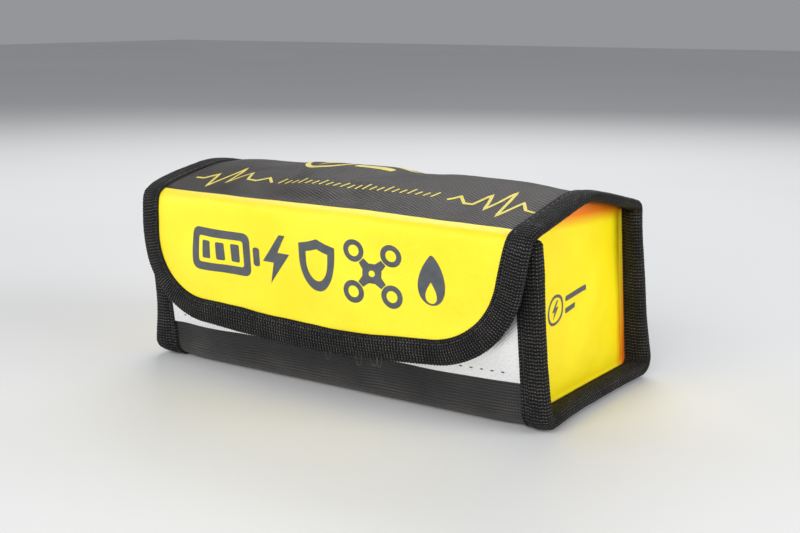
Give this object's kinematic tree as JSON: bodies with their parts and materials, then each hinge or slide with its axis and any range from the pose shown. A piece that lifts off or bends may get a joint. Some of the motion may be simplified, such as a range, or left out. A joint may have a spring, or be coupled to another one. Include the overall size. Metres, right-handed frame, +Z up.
{
  "type": "battery storage bag",
  "caption": "Small padded fabric bag for storing batteries, with a fold-back lid, a tuck-down front flap, silver lining and raised bound rims.",
  "frame": {"origin": "centre of the object's box in X and Y, on the plane that the rims rest on", "axes": "+X along the bag, +Y from the flap to the back wall, +Z up"},
  "size_m": [0.135, 0.0756, 0.0596],
  "materials": {
    "wrap_black": "coated woven cloth, low gloss",
    "lid_charcoal": "coated twill, satin",
    "print_yellow": "printed coated cloth, satin",
    "felt_grey": "matt felt",
    "silver_foil": "aluminised cloth, shiny",
    "tape_black": "ribbed woven tape, matt",
    "thread_black": "sewing thread",
    "thread_grey": "sewing thread",
    "hook_black": "hook tape",
    "loop_black": "loop pile tape"
  },
  "bodies": {
    "body": {"outer_wrap": "wrap_black", "wrap_padding": "felt_grey", "wrap_lining": "silver_foil", "end_panel_left": "print_yellow", "end_panel_right": "print_yellow", "end_padding_left": "felt_grey", "end_padding_right": "felt_grey", "end_lining_left": "silver_foil", "end_lining_right": "silver_foil", "rim_binding_left": "tape_black", "rim_binding_right": "tape_black", "rim_thread_left": "thread_black", "rim_thread_right": "thread_black", "front_facing": "silver_foil", "facing_stitches": "thread_grey", "hook_strip": "hook_black"},
    "lid": {"lid_outer": "lid_charcoal", "lid_padding": "felt_grey", "lid_lining": "silver_foil", "lid_binding_left": "tape_black", "lid_binding_right": "tape_black", "lid_thread_left": "thread_black", "lid_thread_right": "thread_black"},
    "flap": {"flap_outer": "print_yellow", "flap_padding": "felt_grey", "flap_lining": "silver_foil", "flap_binding": "tape_black", "flap_thread": "thread_black", "loop_strip": "loop_black"}
  },
  "joints": [
    {"name": "lid_fold", "type": "hinge", "parent": "body", "child": "lid", "pos_m": [0, 0.03202, 0.05307], "axis": [-1, 0, 0], "range_deg": [0, 175]},
    {"name": "flap_fold", "type": "hinge", "parent": "lid", "child": "flap", "pos_m": [0, -0.03782, 0.05487], "axis": [-1, 0, 0], "range_deg": [0, 175]}
  ]
}
